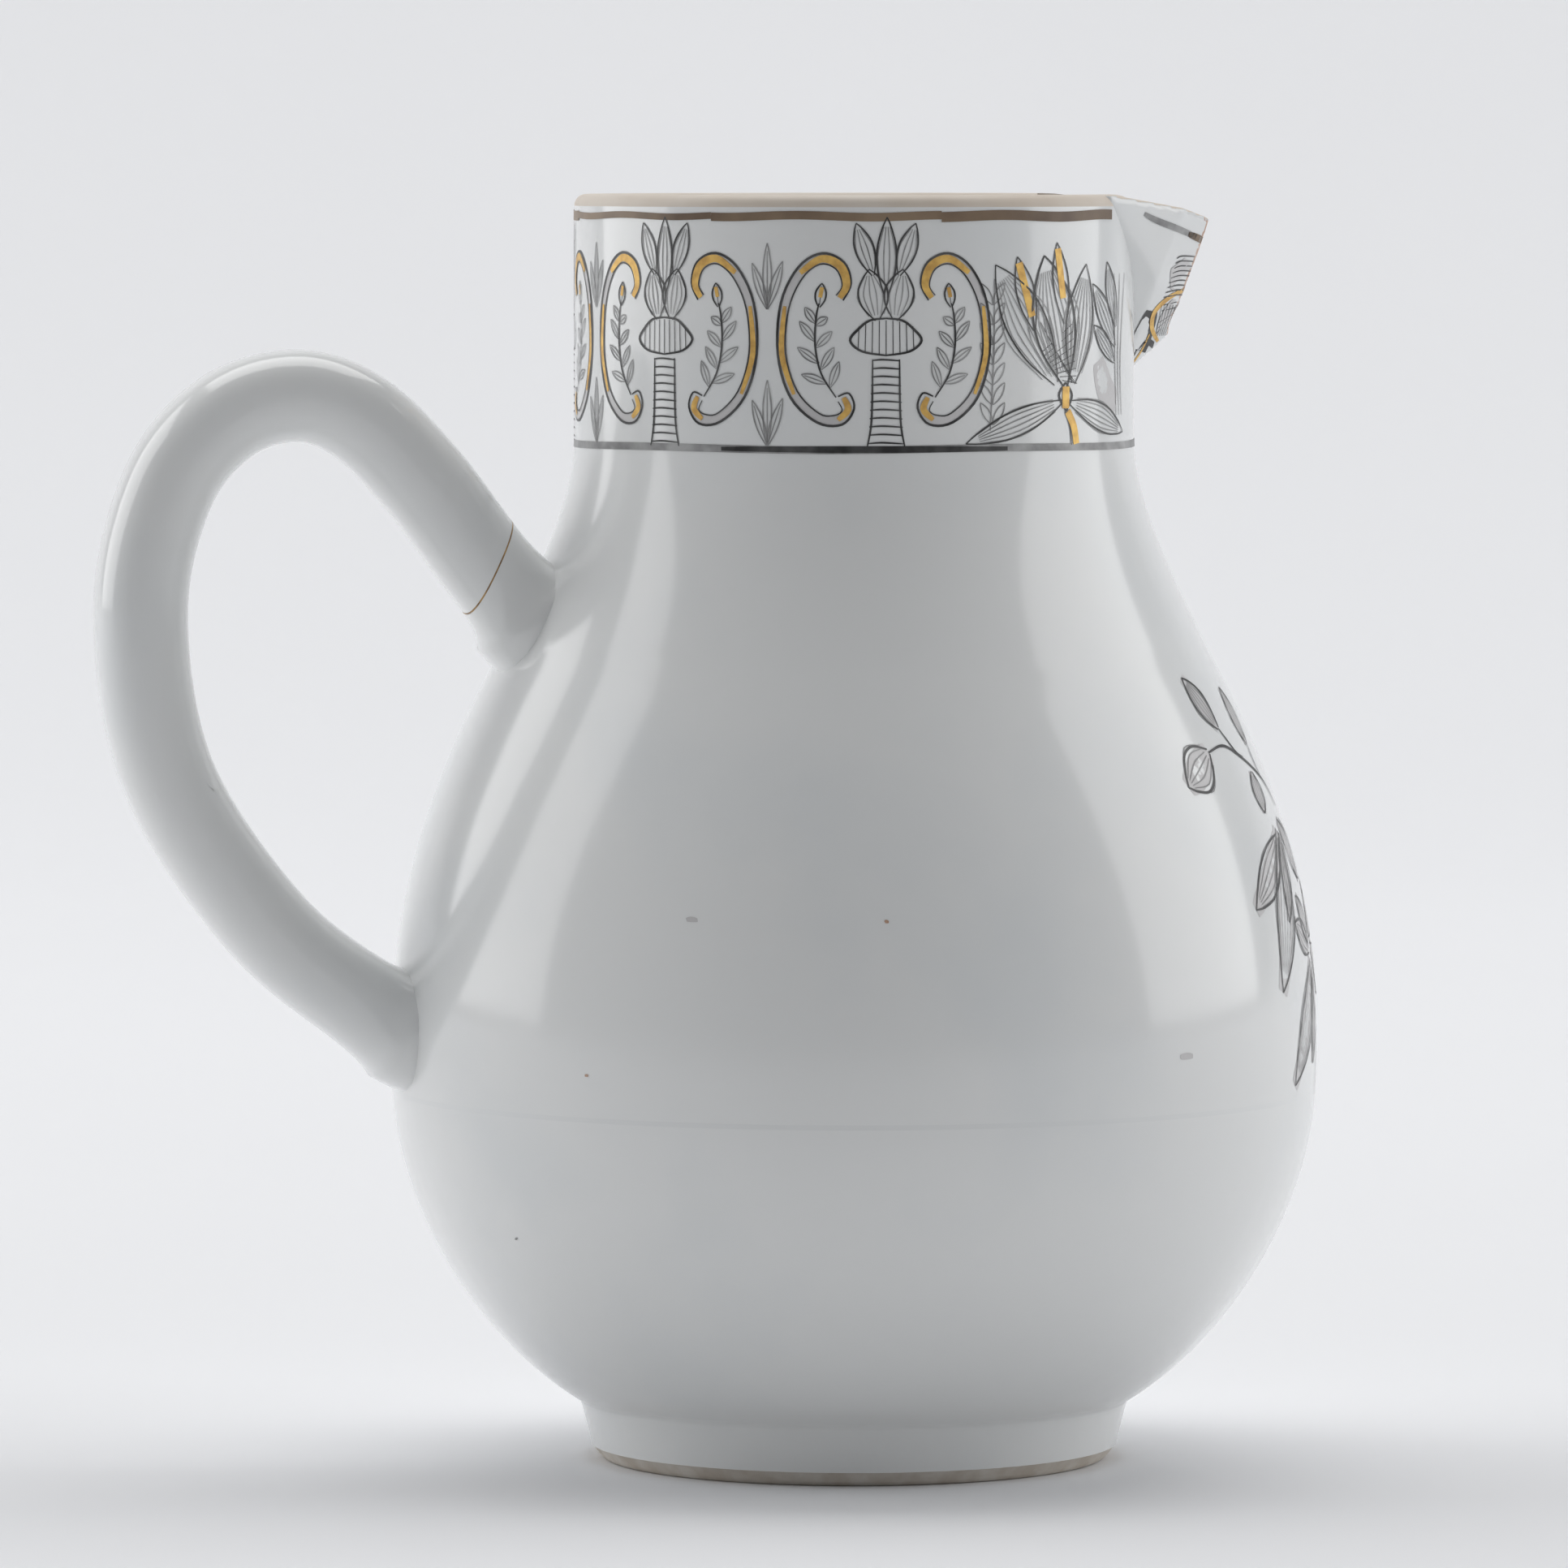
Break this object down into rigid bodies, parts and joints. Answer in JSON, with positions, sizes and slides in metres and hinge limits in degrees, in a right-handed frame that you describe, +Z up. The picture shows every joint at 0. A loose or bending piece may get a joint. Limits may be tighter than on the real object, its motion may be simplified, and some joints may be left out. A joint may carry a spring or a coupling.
{
  "type": "milk jug",
  "caption": "Small porcelain milk jug with a round bottle-shaped body, a loop handle and a short pointed beak with a broken point.",
  "frame": {"origin": "centre of the bounding box in X and Y, on the surface the foot ring stands on", "axes": "+Z up along the turned body's axis, +X towards the beak, -X towards the handle"},
  "size_m": [0.1262, 0.0952, 0.13],
  "materials": {
    "glazed_porcelain": "gloss",
    "slip": "gloss",
    "adhesive": "satin"
  },
  "bodies": {
    "root": {"lower_body": "glazed_porcelain", "body_seam_slip": "slip", "upper_body": "glazed_porcelain", "beak": "glazed_porcelain", "beak_slip": "slip", "handle_loop": "glazed_porcelain", "handle_stub": "glazed_porcelain", "repair_glue": "adhesive", "handle_upper_slip": "slip", "handle_lower_slip": "slip"}
  },
  "joints": []
}
